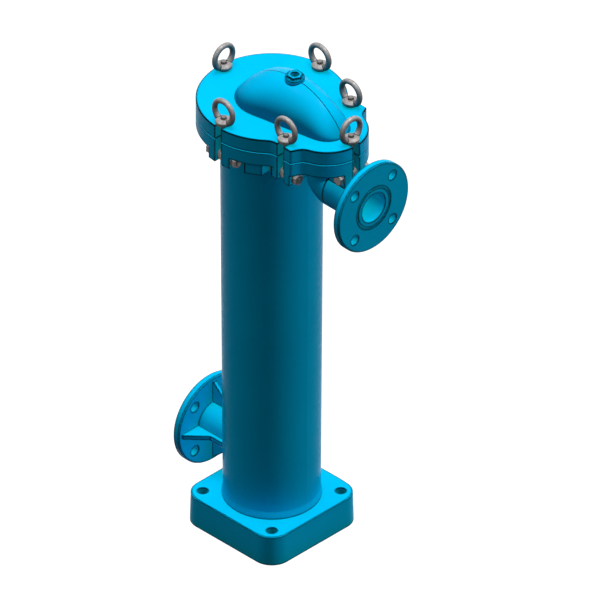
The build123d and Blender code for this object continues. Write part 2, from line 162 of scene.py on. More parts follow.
def grid(points, close_rows=False, close_columns=False):
    """Vertices and quads of a (rows, columns, 3) array, joined round where asked."""
    rows, columns = points.shape[:2]
    index = np.arange(rows * columns).reshape(rows, columns)
    if close_rows:
        index = np.vstack((index, index[:1]))
    if close_columns:
        index = np.hstack((index, index[:, :1]))
    quads = np.stack((index[:-1, :-1], index[:-1, 1:], index[1:, 1:], index[1:, :-1]), axis=-1)
    return points.reshape(-1, 3), quads.reshape(-1, 4)


def joined(*surfaces):
    """Several (vertices, quads) pairs as one."""
    starts = np.cumsum([0] + [len(v) for v, q in surfaces[:-1]])
    return (np.vstack([v for v, q in surfaces]),
            np.vstack([q + start for (v, q), start in zip(surfaces, starts)]))


def turned(profile, segments):
    """Solid of revolution: at angle a, each profile point (r, z) lies at (r cos a, r sin a, z).

    The profile runs anticlockwise round the section, seen with r to the right and z up."""
    profile = np.asarray(profile, float)
    a = np.linspace(0, 2 * pi, segments, endpoint=False)[None, :]
    r = profile[:, :1]
    z = profile[:, 1:] + 0 * a
    return grid(np.stack((r * np.cos(a), r * np.sin(a), z), axis=-1), True, True)


def rounded(corners, radius, steps=3):
    """Closed outline with each corner replaced by a quadratic curve that starts a radius away, or
    0.45 of a side away where the side is short.

    On each curve the point is (1-t)^2 start + 2t(1-t) corner + t^2 end."""
    corners = np.asarray(corners, float)
    before = np.roll(corners, 1, axis=0) - corners
    after = np.roll(corners, -1, axis=0) - corners
    length_before = np.linalg.norm(before, axis=1, keepdims=True)
    length_after = np.linalg.norm(after, axis=1, keepdims=True)
    start = corners + before / length_before * np.minimum(radius, 0.45 * length_before)
    end = corners + after / length_after * np.minimum(radius, 0.45 * length_after)
    t = np.linspace(0, 1, steps + 1)[None, :, None]
    curve = (1 - t) ** 2 * start[:, None] + 2 * t * (1 - t) * corners[:, None] + t * t * end[:, None]
    return curve.reshape(-1, 2)


def threaded_rod(radius, pitch, depth, z0, z1, chamfer, start_z, segments=40, per_pitch=8):
    """Rod whose radius at height z and angle a is the outer radius less the thread's depth times
    a triangle wave of (z / pitch - a / 2 pi). The wave fades in above start_z and the tip's
    radius is limited by a chamfer of 45 degrees."""
    rows = int((z1 - z0) / pitch * per_pitch)
    z = np.linspace(z0, z1, rows)[:, None]
    a = np.linspace(0, 2 * pi, segments, endpoint=False)[None, :]
    phase = (z / pitch - a / (2 * pi)) % 1.0
    wave = np.abs(2 * phase - 1)
    fade = np.clip((z - start_z) / pitch, 0, 1)
    r = radius - depth * (1 - wave) * fade
    r = np.minimum(r, radius - chamfer + (z1 - z))
    body = np.stack((r * np.cos(a), r * np.sin(a), z + 0 * a), axis=-1)
    return grid(capped(body), False, True)


def capped(rings):
    """Rings of a rod, closed at both ends by rings shrunk to their centres."""
    first = np.broadcast_to(rings[0].mean(axis=0), rings[0].shape)
    last = np.broadcast_to(rings[-1].mean(axis=0), rings[-1].shape)
    return np.concatenate((first[None], rings, last[None]))


def hexagon_radius(across_flats, angle):
    """Distance from the axis to a hexagon's side at an angle."""
    sector = (angle + pi / 6) % (pi / 3) - pi / 6
    return across_flats / 2 / np.cos(sector)


def hexagon(across_flats, z0, z1, hole, chamfer_low, segments=96):
    """Hexagon head or nut: its top, and its underside where asked, is cut by a cone of 30 degrees
    that starts at 0.47 of the width, which curves the upper edge of each flat. This holds where
    z1 is above z0. Where z1 is below it, as on the pivots' heads, the cone leans outwards and the
    corners stand proud of a dished face."""
    a = np.linspace(0, 2 * pi, segments, endpoint=False)
    side = hexagon_radius(across_flats, a)
    land = np.full_like(a, 0.47 * across_flats)
    fall = np.maximum(side - land, 0) * tan(radians(30))
    low = z0 + fall if chamfer_low else np.full_like(a, z0)
    inner = np.full_like(a, hole)
    countersink = inner + 0.05 * across_flats
    rows = [(inner, z0), (land, z0), (side, low), (side, z1 - fall), (land, z1)]
    if hole > 0:
        rows += [(countersink, z1), (inner, z1 - 0.05 * across_flats)]
    else:
        rows += [(inner, z1)]
    points = [np.stack((r * np.cos(a), r * np.sin(a), z + 0 * a), axis=-1) for r, z in rows]
    return grid(np.array(points), hole > 0, True)


def swept(path, radius, segments=12, close=True):
    """Tube along a path: at each point the circle radius (cos b) side + radius (sin b) up, with
    side and up square to the path. The radius may change along it."""
    path = np.asarray(path, float)
    if close:
        ahead = np.roll(path, -1, axis=0) - np.roll(path, 1, axis=0)
    else:
        ahead = np.gradient(path, axis=0)
    ahead /= np.linalg.norm(ahead, axis=1, keepdims=True)
    middle = path.mean(axis=0)
    out = path - middle
    side = out - (out * ahead).sum(axis=1, keepdims=True) * ahead
    side /= np.linalg.norm(side, axis=1, keepdims=True)
    up = np.cross(ahead, side)
    b = np.linspace(0, 2 * pi, segments, endpoint=False)[None, :, None]
    r = np.broadcast_to(radius, len(path))[:, None, None]
    tube = path[:, None] + r * (np.cos(b) * side[:, None] + np.sin(b) * up[:, None])
    if not close:
        tube = capped(tube)
    return grid(tube, close, True)


def piece(name, surface, body, finish, smooth_angle=35):
    """Mesh object of one surface: doubled points merged, faces turned outwards, edges sharper
    than an angle kept sharp, riding on a body and wearing a finish."""
    vertices, quads = surface
    mesh = bpy.data.meshes.new(name)
    mesh.from_pydata(np.asarray(vertices).tolist(), [], quads.tolist())
    thing = bpy.data.objects.new(name, mesh)
    bpy.context.scene.collection.objects.link(thing)
    select_only(thing)
    bpy.ops.object.mode_set(mode="EDIT")
    bpy.ops.mesh.select_all(action="SELECT")
    bpy.ops.mesh.remove_doubles(threshold=1e-6)
    bpy.ops.mesh.normals_make_consistent(inside=False)
    bpy.ops.object.mode_set(mode="OBJECT")
    bpy.ops.object.shade_smooth_by_angle(angle=radians(smooth_angle))
    mesh.materials.append(finish)
    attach(thing, body)
    return thing


def select_only(thing):
    bpy.ops.object.select_all(action="DESELECT")
    thing.select_set(True)
    bpy.context.view_layer.objects.active = thing


# Finishes

class Finish:
    """Material under construction: a Principled shader and short ways to feed it."""

    def __init__(self, name):
        self.material = bpy.data.materials.new(name)
        self.material.use_nodes = True
        self.tree = self.material.node_tree
        self.shader = self.tree.nodes["Principled BSDF"]
        self.place = self.node("ShaderNodeTexCoord").outputs["Object"]

    def node(self, kind, **settings):
        node = self.tree.nodes.new(kind)
        for key, value in settings.items():
            setattr(node, key, value)
        return node

    def link(self, source, target):
        self.tree.links.new(source, target)

    def spot(self, span_mm, stretch=(1, 1, 1)):
        """Object coordinates scaled so that one unit is a span in millimetres."""
        mapping = self.node("ShaderNodeMapping")
        mapping.inputs["Scale"].default_value = [s / (span_mm * MM) for s in stretch]
        self.link(self.place, mapping.inputs["Vector"])
        return mapping.outputs["Vector"]

    def noise(self, span_mm, detail=3.0, stretch=(1, 1, 1), rough=0.5):
        noise = self.node("ShaderNodeTexNoise")
        noise.inputs["Scale"].default_value = 1.0
        noise.inputs["Detail"].default_value = detail
        noise.inputs["Roughness"].default_value = rough
        self.link(self.spot(span_mm, stretch), noise.inputs["Vector"])
        return noise.outputs["Fac"]

    def remap(self, value, low, high, from_low=0.3, from_high=0.7):
        remap = self.node("ShaderNodeMapRange")
        remap.inputs["From Min"].default_value = from_low
        remap.inputs["From Max"].default_value = from_high
        remap.inputs["To Min"].default_value = low
        remap.inputs["To Max"].default_value = high
        self.link(value, remap.inputs["Value"])
        return remap.outputs["Result"]

    def mix(self, factor, first, second):
        mix = self.node("ShaderNodeMix", data_type="RGBA")
        for name, value in (("Factor_Float", factor), ("A_Color", first), ("B_Color", second)):
            socket = next(s for s in mix.inputs if s.identifier == name)
            if isinstance(value, bpy.types.NodeSocket):
                self.link(value, socket)
            else:
                socket.default_value = value if name == "Factor_Float" else (*value, 1.0)
        return next(s for s in mix.outputs if s.identifier == "Result_Color")

    def math(self, operation, *values):
        result = self.node("ShaderNodeMath", operation=operation)
        for value, socket in zip(values, result.inputs):
            self.link(value, socket)
        return result.outputs["Value"]

    def part(self, vector, axis):
        """One component of a vector."""
        split = self.node("ShaderNodeSeparateXYZ")
        self.link(vector, split.inputs[0])
        return split.outputs[axis]

    def facing_up(self):
        """Height of the surface's normal: 1 on level ground, 0 on walls, -1 underneath."""
        return self.part(self.node("ShaderNodeNewGeometry").outputs["Normal"], "Z")

    def slab(self, axis, half_mm):
        """1 at the plane where a coordinate is 0, falling to 0 at a half width from it."""
        distance = self.math("ABSOLUTE", self.part(self.place, axis))
        return self.remap(distance, 1.0, 0.0, 0.6 * half_mm * MM, half_mm * MM)

    def above(self, height, soft):
        """0 under a height, rising to 1 over a soft step above it."""
        return self.remap(self.part(self.place, "Z"), 0.0, 1.0, height, height + soft)

    def below(self, height, soft):
        """1 under a height, falling to 0 over a soft step above it."""
        return self.remap(self.part(self.place, "Z"), 1.0, 0.0, height, height + soft)

    def bump(self, height, depth_mm):
        bump = self.node("ShaderNodeBump")
        bump.inputs["Strength"].default_value = 1.0
        bump.inputs["Distance"].default_value = depth_mm * MM
        self.link(height, bump.inputs["Height"])
        self.link(bump.outputs["Normal"], self.shader.inputs["Normal"])

    def edges(self, width_mm, bright_bevels=False):
        """0 on flat or gently curved ground, rising to 1 within a width of an edge or corner.
        Where asked, bevels that face halfway up stay at 0, as they catch the light."""
        bevel = self.node("ShaderNodeBevel", samples=6)
        bevel.inputs["Radius"].default_value = width_mm * MM
        ground = self.node("ShaderNodeNewGeometry")
        match = self.node("ShaderNodeVectorMath", operation="DOT_PRODUCT")
        self.link(bevel.outputs["Normal"], match.inputs[0])
        self.link(ground.outputs["Normal"], match.inputs[1])
        line = self.remap(match.outputs["Value"], 1.0, 0.0, 0.96, 0.997)
        if not bright_bevels:
            return line
        level = self.remap(self.facing_up(), -1.0, 1.0, 0.45, 0.95)
        keep = self.remap(self.math("ABSOLUTE", level), 0.0, 1.0, 0.6, 0.95)
        return self.math("MULTIPLY", line, keep)

    def recesses(self, reach):
        """0 in the open, rising to 1 in holes, bores and corners within a reach of other walls."""
        open_sky = self.node("ShaderNodeAmbientOcclusion", samples=6)
        open_sky.inputs["Distance"].default_value = reach
        return self.remap(open_sky.outputs["AO"], 1.0, 0.0, 0.2, 0.8)

    def undersides(self):
        """0 on ground that faces up, rising to 1 on ground that faces the floor."""
        return self.remap(self.facing_up(), 1.0, 0.0, -0.3, 0.75)

    def rim(self, low, high):
        """1 on ground tilted from level between two heights, and 0 elsewhere."""
        soft = 0.2 * MM
        tilted = self.remap(self.facing_up(), 1.0, 0.0, 0.93, 0.99)
        band = self.math("MULTIPLY", self.above(low - soft, soft), self.below(high, soft))
        return self.math("MULTIPLY", band, tilted)

    def low_slopes(self, foot, reach):
        """1 on steep ground just above a height, falling to 0 on gentle slopes or higher up."""
        steep = self.remap(self.facing_up(), 1.0, 0.0, 0.28, 0.78)
        band = self.math("MULTIPLY", self.above(foot, 0.5 * MM),
                         self.below(foot + 0.3 * reach, 0.7 * reach))
        return self.math("MULTIPLY", band, steep)

    def colour(self, value):
        self.link(value, self.shader.inputs["Base Color"])

    def roughness(self, value):
        self.link(value, self.shader.inputs["Roughness"])

    def fixed(self, **values):
        for key, value in values.items():
            self.shader.inputs[key.replace("_", " ")].default_value = value


def scaled(colour, factor):
    return tuple(min(1.0, c * factor) for c in colour)


def moulded_plastic(settings, name, parted=False, bright_bevels=False):
    """Satin glass-filled plastic: cloudy colour, fine mould grain, a shallow ripple, and painted
    shade along edges, in corners and in recesses. A parted piece, the lid, also has the mould's
    parting line, a rim painted dark as shade and painted shade on the steep low sides of its duct."""
    finish = Finish(name)
    base = tuple(settings.colour)
    cloud = finish.remap(finish.noise(90, 4), 0, 1)
    tint = finish.mix(cloud, scaled(base, 0.95), scaled(base, 1.03))
    fibre = finish.remap(finish.noise(1.6, 2, (1, 1, 0.35)), 0, 0.10, 0.55, 0.75)
    tint = finish.mix(fibre, tint, scaled(base, 0.78))
    # Painted shade: holes, bores and corners darkened and drained of blue by an occlusion mask
    recess_shade = tuple(channel * kept for channel, kept in zip(base, settings.recess_shade))
    tint = finish.mix(finish.recesses(settings.recess), tint, recess_shade)
    # Painted shade: edges and corners darkened to near-black lines
    edge = finish.edges(settings.edge_width, bright_bevels)
    tint = finish.mix(edge, tint, scaled(base, settings.edge_shade))
    if parted:
        shade = scaled(base, settings.edge_shade)
        line = finish.math("MULTIPLY", finish.slab("Y", settings.parting),
                           finish.above(LID_TOP + 1 * MM, 1 * MM))
        # Painted shade: the duct's steep sides darkened just above the lid's top
        slope_shade_mask = finish.low_slopes(LID_TOP, settings.slope_shade_reach)
        tint = finish.mix(slope_shade_mask, tint, scaled(base, settings.slope_shade_level))
        tint = finish.mix(line, tint, shade)
        # Painted shade: a dark line round the rim of the lid's top
        tint = finish.mix(finish.rim(LID_TOP - RIM_BELOW, LID_TOP + RIM_ABOVE), tint, shade)
    finish.colour(tint)
    grain = finish.noise(settings.grain, 2)
    ripple = finish.remap(finish.noise(14, 2), 0, 1.5)
    finish.bump(finish.math("ADD", grain, ripple), settings.grain_depth)
    finish.roughness(finish.remap(finish.noise(25, 4), settings.roughness - 0.05,
                                  settings.roughness + 0.06))
    finish.fixed(Specular_IOR_Level=settings.specular, IOR=1.5)
    return finish.material


def forged_steel(settings):
    """Forged and blasted steel of the lifting eyes: mottled warm grey with fine pitting, painted
    shade on the undersides and painted shade along the edges."""
    finish = Finish("forged_steel")
    base = tuple(settings.forged_colour)
    mottle = finish.remap(finish.noise(5, 5), 0, 1)
    tint = finish.mix(mottle, scaled(base, 0.72), scaled(base, 1.18))
    # Painted shade: the undersides darkened to a sixth of the colour
    tint = finish.mix(finish.undersides(), tint, scaled(base, 0.16))
    # Painted shade: edges darkened to dark lines
    edge = finish.edges(settings.edge_width)
    finish.colour(finish.mix(edge, tint, scaled(base, settings.edge_shade)))
    pits = finish.noise(0.9, 4, rough=0.65)
    hammer = finish.remap(finish.noise(4, 2), 0, 1.6)
    finish.bump(finish.math("ADD", pits, hammer), 0.05)
    finish.roughness(finish.remap(finish.noise(3, 3), 0.34, 0.52))
    finish.fixed(Metallic=0.15, Specular_IOR_Level=0.15)
    return finish.material


def plated_steel(name, settings, colour, streak, gloss, metallic=0.9, shade_below=False):
    """Plated or stainless steel with fine streaks left by rolling or turning, along one way,
    roughness between the two values of its gloss and, where asked, painted shade on the undersides."""
    finish = Finish(name)
    colour = tuple(colour)
    line = finish.noise(0.7, 4, streak)
    patch = finish.remap(finish.noise(9, 3), 0, 1)
    tint = finish.mix(patch, scaled(colour, 0.86), scaled(colour, 1.08))
    tint = finish.mix(finish.remap(line, 0, 0.25), tint, scaled(colour, 0.6))
    # Painted shade: where asked, the undersides darkened
    if shade_below:
        tint = finish.mix(finish.undersides(), tint, scaled(colour, 0.3))
    # Painted shade: edges darkened to dark lines
    edge = finish.edges(settings.edge_width)
    finish.colour(finish.mix(edge, tint, scaled(colour, settings.edge_shade)))
    finish.bump(line, 0.012)
    finish.roughness(finish.remap(line, *gloss))
    finish.fixed(Metallic=metallic, Specular_IOR_Level=0.4)
    return finish.material


def needled_felt(settings):
    """Needled felt: two crossed families of stretched noise for fibres, with a soft sheen."""
    finish = Finish("needled_felt")
    base = tuple(settings.felt_colour)
    upright = finish.noise(0.8, 5, (1, 1, 0.18), 0.6)
    across = finish.noise(1.1, 5, (0.25, 0.25, 1), 0.6)
    both = finish.math("ADD", upright, across)
    finish.colour(finish.mix(finish.remap(both, 0, 1, 0.8, 1.2), scaled(base, 0.80),
                             scaled(base, 1.06)))
    finish.bump(both, 0.18)
    finish.fixed(Roughness=0.95, Sheen_Weight=0.35, Sheen_Roughness=0.5, Specular_IOR_Level=0.2)
    return finish.material


def sewing_thread(settings):
    """Twisted thread in the felt's colour, darker in its lay."""
    finish = Finish("sewing_thread")
    base = tuple(settings.felt_colour)
    twist = finish.noise(0.4, 2, (1, 1, 0.5))
    finish.colour(finish.mix(finish.remap(twist, 0, 1), scaled(base, 0.62), scaled(base, 0.9)))
    finish.bump(twist, 0.05)
    finish.fixed(Roughness=0.7, Sheen_Weight=0.2)
    return finish.material


def seal_rubber():
    """Black sealing rubber with a dull bloom."""
    finish = Finish("seal_rubber")
    bloom = finish.remap(finish.noise(12, 4), 0, 1)
    finish.colour(finish.mix(bloom, (0.018, 0.018, 0.020), (0.040, 0.040, 0.043)))
    finish.bump(finish.noise(0.6, 3), 0.02)
    finish.roughness(finish.remap(finish.noise(6, 3), 0.5, 0.68))
    return finish.material


def ring_plastic():
    """Pale moulded plastic of the bag's ring."""
    finish = Finish("pale_plastic")
    cloud = finish.remap(finish.noise(30, 3), 0, 1)
    finish.colour(finish.mix(cloud, (0.62, 0.64, 0.62), (0.70, 0.71, 0.69)))
    finish.bump(finish.noise(1.2, 3), 0.015)
    finish.roughness(finish.remap(finish.noise(10, 3), 0.36, 0.46))
    return finish.material


def wear(node, finish):
    """Put a finish on a CAD node's own mesh."""
    thing = frame["nodes"][node]
    thing.data.materials.clear()
    thing.data.materials.append(finish)


# Settings

class FilterPlastic(bpy.types.PropertyGroup):
    colour: FloatVectorProperty(name="Colour", description="Colour of the moulded plastic",
                                subtype="COLOR", size=3, min=0, max=1, default=(0.0, 0.57, 1.0))
    roughness: FloatProperty(name="Roughness", description="Middle of the satin gloss",
                             subtype="FACTOR", min=0, max=1, default=0.26)
    specular: FloatProperty(name="Specular", description="Strength of the dielectric gloss",
                            subtype="FACTOR", min=0, max=1, default=0.01)
    grain: FloatProperty(name="Grain", description="Spacing of the mould's grain in millimetres",
                         min=0.1, max=10, default=0.9)
    grain_depth: FloatProperty(name="Grain depth", description="Depth of the grain in millimetres",
                               min=0, max=1, default=0.02)
    edge_width: FloatProperty(name="Edge width", description="Width of the shaded edges in mm",
                              min=0, max=9, default=4.6)
    # Painted shade in recesses: the reach of the walls that cast it, and the share of each colour it
    # leaves
    recess: FloatProperty(name="Recess", description="Reach of the walls that put painted shade in a recess",
                          unit="LENGTH", min=0.001, default=60 * MM)
    recess_shade: FloatVectorProperty(name="Recess shade", description="Share of each colour left in recesses",
                               size=3, min=0, max=1, default=(1.0, 0.80, 0.52))
    # Painted shade on the duct's steep low sides: how far it climbs and the brightness it leaves
    slope_shade_reach: FloatProperty(name="Slope shade reach", description="How far painted shade climbs the duct's sides",
                               unit="LENGTH", min=0.001, default=60 * MM)
    slope_shade_level: FloatProperty(name="Slope shade level", description="Brightness left under the painted slope shade",
                              subtype="FACTOR", min=0, max=1, default=0.32)
    parting: FloatProperty(name="Parting line", description="Half width of the lid's line in mm",
                           min=0, max=5, default=0.9)
    edge_shade: FloatProperty(name="Edge shade", description="Brightness left along the edges",
                              subtype="FACTOR", min=0, max=1, default=0.02)


class FilterMetal(bpy.types.PropertyGroup):
    forged_colour: FloatVectorProperty(name="Forged steel", description="Colour of the lifting eyes",
                                       subtype="COLOR", size=3, min=0, max=1,
                                       default=(0.44, 0.415, 0.405))
    bolt_colour: FloatVectorProperty(name="Bolts", description="Colour of bolts, nuts and washers",
                                     subtype="COLOR", size=3, min=0, max=1,
                                     default=(0.34, 0.32, 0.31))
    edge_width: FloatProperty(name="Edge width", description="Width of the steel's dark edges in mm",
                              min=0, max=9, default=1.6)
    edge_shade: FloatProperty(name="Edge shade", description="Brightness left along the edges",
                              subtype="FACTOR", min=0, max=1, default=0.06)
    basket_colour: FloatVectorProperty(name="Basket", description="Colour of the basket's sheet",
                                       subtype="COLOR", size=3, min=0, max=1,
                                       default=(0.62, 0.62, 0.63))


class FilterBolts(bpy.types.PropertyGroup):
    shank_radius: FloatProperty(name="Shank radius", description="Radius of the swing bolts",
                                unit="LENGTH", min=0.001, default=5 * MM)
    pitch: FloatProperty(name="Pitch", description="Pitch of the threads", unit="LENGTH",
                         min=0.0002, default=1.5 * MM)
    thread_depth: FloatProperty(name="Thread depth", description="Depth of the threads",
                                unit="LENGTH", min=0, default=0.85 * MM)
    pin_hole: FloatProperty(name="Pin hole", description="Radius of the hole through an eye",
                            unit="LENGTH", min=0.001, default=5.1 * MM)
    hexagon: FloatProperty(name="Hexagon", description="Width of the pivots' hexagons across flats",
                           unit="LENGTH", min=0.001, default=17 * MM)
    ring_wire: FloatProperty(name="Ring wire", description="Radius of a lifting eye's wire",
                             unit="LENGTH", min=0.001, default=4.8 * MM)
    ring_flare: FloatProperty(name="Ring flare", description="How much the wire thickens at its roots",
                              subtype="FACTOR", min=0, max=1, default=0.30)
    thread_length: FloatProperty(name="Thread length", description="Threaded end of a swing bolt",
                                 unit="LENGTH", min=0, default=44 * MM)
    eye_edge: FloatProperty(name="Eye edge", description="Rounding of a swing bolt's eye",
                            unit="LENGTH", min=0, default=1.2 * MM)
    nut_edge: FloatProperty(name="Nut edge", description="Rounding of a lifting eye's collar",
                            unit="LENGTH", min=0, default=0.9 * MM)
    washer_edge: FloatProperty(name="Washer edge", description="Rounding of a swing bolt's washer",
                               unit="LENGTH", min=0, default=0.5 * MM)
    bead: FloatProperty(name="Weld bead", description="Radius of the weld beads", unit="LENGTH",
                        min=0, default=2.2 * MM)


class FilterBag(bpy.types.PropertyGroup):
    felt_colour: FloatVectorProperty(name="Felt", description="Colour of the felt", subtype="COLOR",
                                     size=3, min=0, max=1, default=(0.74, 0.72, 0.66))
    felt: FloatProperty(name="Felt thickness", description="Thickness of the bag's felt",
                        unit="LENGTH", min=0.0002, default=1.6 * MM)
    fold: FloatProperty(name="Fold", description="Depth of the hanging folds", unit="LENGTH",
                        min=0, default=1.6 * MM)
    corner: FloatProperty(name="Corner", description="Height of the rounded bottom", unit="LENGTH",
                          min=0.001, default=24 * MM)
    thread: FloatProperty(name="Thread", description="Radius of the sewing thread", unit="LENGTH",
                          min=0.0001, default=0.28 * MM)
    stitches: IntProperty(name="Stitches", description="Stitches down the side seam", min=1,
                          default=120)


class FilterStage(bpy.types.PropertyGroup):
    azimuth: FloatProperty(name="Azimuth", description="Where the camera stands, from -Y round to +X",
                           subtype="ANGLE", default=radians(45))
    elevation: FloatProperty(name="Elevation", description="Height of the view above the horizon",
                             subtype="ANGLE", default=radians(35.264))
    width: FloatProperty(name="Width", description="Width of the picture at the object",
                         unit="LENGTH", min=0.1, default=0.996)
    aside: FloatProperty(name="Aside", description="How far the view's axis passes to the right",
                         unit="LENGTH", default=0.0468)
    height: FloatProperty(name="Height", description="Height at which it passes the vessel's axis",
                          unit="LENGTH", default=0.4436)
    ambient: FloatProperty(name="Ambient", description="Even light from all round", min=0,
                           default=0.10)
    floor_bounce: FloatProperty(name="Floor bounce", description="Light that the floor sends back",
                                subtype="FACTOR", min=0, max=1, default=0.04)
    floor_glow: FloatProperty(name="Floor glow", description="Brightness of a shaded floor",
                              subtype="FACTOR", min=0, max=1, default=0.80)


# Pieces

class FILTER_OT_housing(bpy.types.Operator):
    """Give the moulded nodes their satin plastic"""
    bl_idname = "filter.housing"
    bl_label = "Moulded housing"

    def execute(self, context):
        settings = context.scene.filter_plastic
        plastic = moulded_plastic(settings, "moulded_blue_plastic")
        for node in MOULDED:
            wear(node, plastic)
        wear("body_flange", moulded_plastic(settings, "moulded_blue_flange", bright_bevels=True))
        wear("lid", moulded_plastic(settings, "moulded_blue_lid", parted=True))
        return {"FINISHED"}


class FILTER_OT_inner_parts(bpy.types.Operator):
    """Give the basket, the seals and the bag's ring their finishes"""
    bl_idname = "filter.inner_parts"
    bl_label = "Basket, seals and ring"

    def execute(self, context):
        metal = context.scene.filter_metal
        sheet = plated_steel("rolled_sheet", metal, metal.basket_colour, (0.12, 0.12, 1),
                             (0.28, 0.42))
        for node in ("basket_rim", "basket_wall", "basket_floor"):
            wear(node, sheet)
        rubber = seal_rubber()
        for node in ("lid_seal", "basket_seal"):
            wear(node, rubber)
        wear("bag_ring", ring_plastic())
        return {"FINISHED"}


class FILTER_OT_swing_bolts(bpy.types.Operator):
    """Make the swing bolts, each an eye with a threaded shank, and their washers"""
    bl_idname = "filter.swing_bolts"
    bl_label = "Swing bolts and washers"

    def execute(self, context):
        bolts = context.scene.filter_bolts
        metal = context.scene.filter_metal
        steel = plated_steel("turned_steel", metal, metal.bolt_colour, (1, 1, 0.15), (0.24, 0.40),
                             0.3, True)
        for number in STATIONS:
            pivot, out, along = station_frame(number)
            low, high = size(f"swing_bolt_{number}")
            eye_radius = pivot[2] - low[2]
            half = abs((high - low) @ along) / 2
            eye, quads = turned(rounded([(bolts.pin_hole, -half), (eye_radius, -half),
                                         (eye_radius, half), (bolts.pin_hole, half)],
                                        bolts.eye_edge), 64)
            eye = eye[:, (0, 2, 1)]
            top = high[2] - pivot[2]
            neck = EYE_NECK * eye_radius
            rod = threaded_rod(bolts.shank_radius, bolts.pitch, bolts.thread_depth,
                               neck, top, SWING_TIP, top - bolts.thread_length)
            points, faces = joined((eye, quads), rod)
            bolt = piece(f"threaded_swing_bolt_{number}", (placed(points, number), faces),
                         f"swing_bolt_{number}", steel)
            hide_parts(f"swing_bolt_{number}")
            self.washer(number, steel, bolts)
        return {"FINISHED"}

    def washer(self, number, steel, bolts):
        """Rounded washer, from the node's own size."""
        pivot = station_frame(number)[0]
        low, high = size(f"washer_{number}")
        outer = (high[0] - low[0]) / 2
        hole = bolts.shank_radius + BOLT_CLEARANCE
        z0 = low[2] - pivot[2]
        z1 = high[2] - pivot[2]
        points, faces = turned(rounded([(hole, z0), (outer, z0), (outer, z1), (hole, z1)],
                                       bolts.washer_edge), 64)
        ring = piece(f"plain_washer_{number}", (placed(points, number), faces),
                     f"washer_{number}", steel)
        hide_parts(f"washer_{number}")


class FILTER_OT_eye_nuts(bpy.types.Operator):
    """Make the lifting eye nuts, each a forged ring that flares into its collar"""
    bl_idname = "filter.eye_nuts"
    bl_label = "Lifting eye nuts"

    def ring(self, radius, wire, height, flare):
        """Open ring in the plane along the pivot: at angle u from the top its centre line is at
        (0, R sin u, h + R cos u), and the wire's radius grows by the flare times the fourth
        power of (1 - cos u) / 2. What would pass under the nut is flattened just above its seat."""
        u = np.radians(np.linspace(-RING_REACH, RING_REACH, 97))
        path = np.stack((0 * u, radius * np.sin(u), height + radius * np.cos(u)), axis=-1)
        grow = wire * (1 + flare * ((1 - np.cos(u)) / 2) ** 4)
        points, faces = swept(path, grow, 24, close=False)
        points[:, 2] = np.maximum(points[:, 2], RING_FLOOR)
        return points, faces

    def execute(self, context):
        bolts = context.scene.filter_bolts
        forged = forged_steel(context.scene.filter_metal)
        for number in STATIONS:
            pivot, out, along = station_frame(number)
            low, high = size(f"eye_nut_{number}")
            span = high - low
            ring_outer = abs(span @ along) / 2
            collar = abs(span @ out) / 2
            base = low[2] - pivot[2]
            centre = span[2] - ring_outer
            ring = self.ring(ring_outer - bolts.ring_wire, bolts.ring_wire, centre,
                             bolts.ring_flare)
            hole = bolts.shank_radius + BOLT_CLEARANCE
            top = COLLAR_TOP * collar
            profile = rounded([(hole, 0), (collar, 0), (collar, COLLAR_EDGE * collar),
                               (COLLAR_LAND * collar, top), (hole, top)], bolts.nut_edge)
            body = turned(profile, 72)
            points, faces = joined(ring, body)
            points = points + np.array((0, 0, base))
            nut = piece(f"forged_eye_nut_{number}", (placed(points, number), faces),
                        f"eye_nut_{number}", forged, 50)
            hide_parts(f"eye_nut_{number}")
        return {"FINISHED"}


class FILTER_OT_pivots(bpy.types.Operator):
    """Make the pivot bolts, their nuts and washers at every lug"""
    bl_idname = "filter.pivots"
    bl_label = "Pivot bolts"

    def execute(self, context):
        bolts = context.scene.filter_bolts
        metal = context.scene.filter_metal
        steel = plated_steel("plated_steel", metal, metal.bolt_colour, (0.5, 0.5, 0.5),
                             (0.26, 0.42), 0.3, True)
        surfaces = {"bolts": [], "nuts": [], "washers": []}
        for number in STATIONS:
            for kind, surface in self.station(number, bolts).items():
                surfaces[kind] += surface
        for kind, parts in surfaces.items():
            made = piece(f"pivot_{kind}_finished", joined(*parts), HOUSING, steel, 30)
            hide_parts(f"pivot_{kind}")
        return {"FINISHED"}

    def station(self, number, bolts):
        """Head, shank, nut and two washers on one pivot, from its lug's half width outwards."""
        half = NARROW_LUG if number in NARROW_STATIONS else WIDE_LUG
        washer, head, nut, end = PIVOT_STACK
        radius = bolts.shank_radius
        start = half + washer
        headed = hexagon(bolts.hexagon, -start, -start - head, 0.0, False)
        shank = threaded_rod(radius - PIVOT_PLAY, bolts.pitch, bolts.thread_depth, -start,
                             start + nut + end, PIVOT_TIP, half)
        nutted = hexagon(bolts.hexagon, start, start + nut, radius, True)
        rings = []
        for side in (-1, 1):
            z0, z1 = sorted((side * half, side * start))
            rings.append(turned(rounded([(radius, z0), (2 * radius, z0), (2 * radius, z1),
                                         (radius, z1)], PIVOT_WASHER_EDGE), 48))
        laid = {"bolts": [headed, shank], "nuts": [nutted], "washers": rings}
        return {kind: [(placed(points[:, (0, 2, 1)], number), faces) for points, faces in parts]
                for kind, parts in laid.items()}


